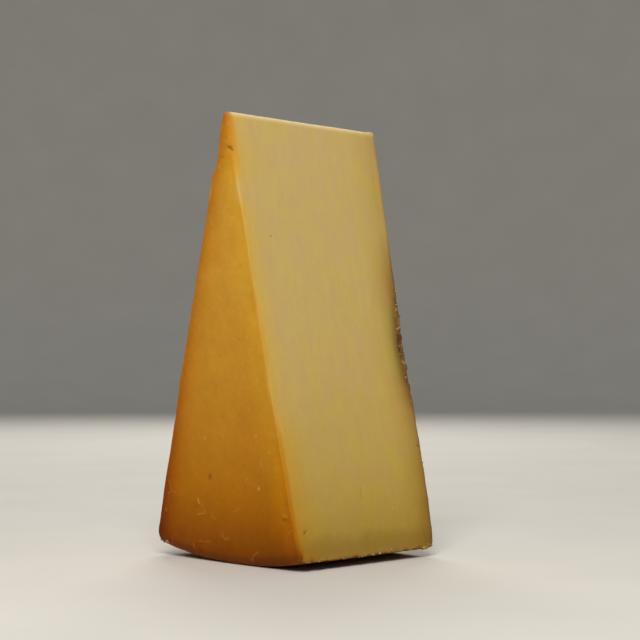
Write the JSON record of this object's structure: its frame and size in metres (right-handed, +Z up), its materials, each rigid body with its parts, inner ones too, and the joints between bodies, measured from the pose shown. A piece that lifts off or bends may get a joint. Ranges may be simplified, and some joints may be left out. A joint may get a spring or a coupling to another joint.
{
  "type": "smoked cheddar wedge",
  "caption": "Wedge of smoked cheddar cut from a wheel, standing on its curved outer rind with its narrow nose up; food prop for a board, counter or table.",
  "frame": {"origin": "middle of the flat spot on the outer rind that the wedge stands on", "axes": "+X along the wheel's axis, from the smoked face to the natural rind; -Y out of the hollow knife cut; +Z up, from the outer rind to the nose"},
  "size_m": [0.0657, 0.0689, 0.142],
  "materials": {
    "cheese": "waxy satin cheese: pale yellow knife-cut sides, a smoked amber wheel face and outer rind, and a rough brown natural rind on the far face"
  },
  "bodies": {
    "root": {"wedge": "cheese"}
  },
  "joints": []
}
